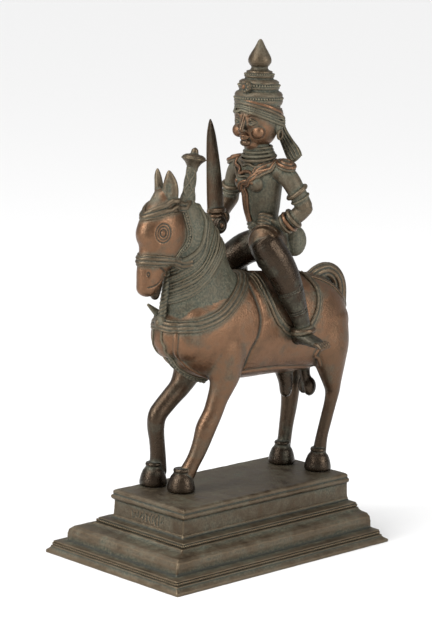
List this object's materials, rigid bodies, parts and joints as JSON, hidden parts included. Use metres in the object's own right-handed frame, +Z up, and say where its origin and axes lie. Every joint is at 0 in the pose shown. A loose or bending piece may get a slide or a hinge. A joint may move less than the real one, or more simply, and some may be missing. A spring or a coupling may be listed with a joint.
{
  "type": "horseman figure",
  "caption": "Cast bronze rider with an upright sword on a harnessed standing horse, fixed on a stepped rectangular plinth with beaded mouldings.",
  "frame": {"origin": "centre of the plinth's underside", "axes": "+Z up, -Y towards the plinth's short front and the horse's head, +X to the horse's left"},
  "size_m": [0.1042, 0.1736, 0.28],
  "materials": {
    "plinth_bronze": "dark green-brown patinated bronze, reddish and pale greenish in places",
    "horse_bronze": "copper-brown bronze rubbed warm on the body, green-grey patina in the harness",
    "rider_bronze": "dark glossy brown bronze on legs and sword, green-grey patina on torso and crown"
  },
  "bodies": {
    "root": {"plinth": "plinth_bronze", "horse": "horse_bronze", "rider": "rider_bronze"}
  },
  "joints": []
}
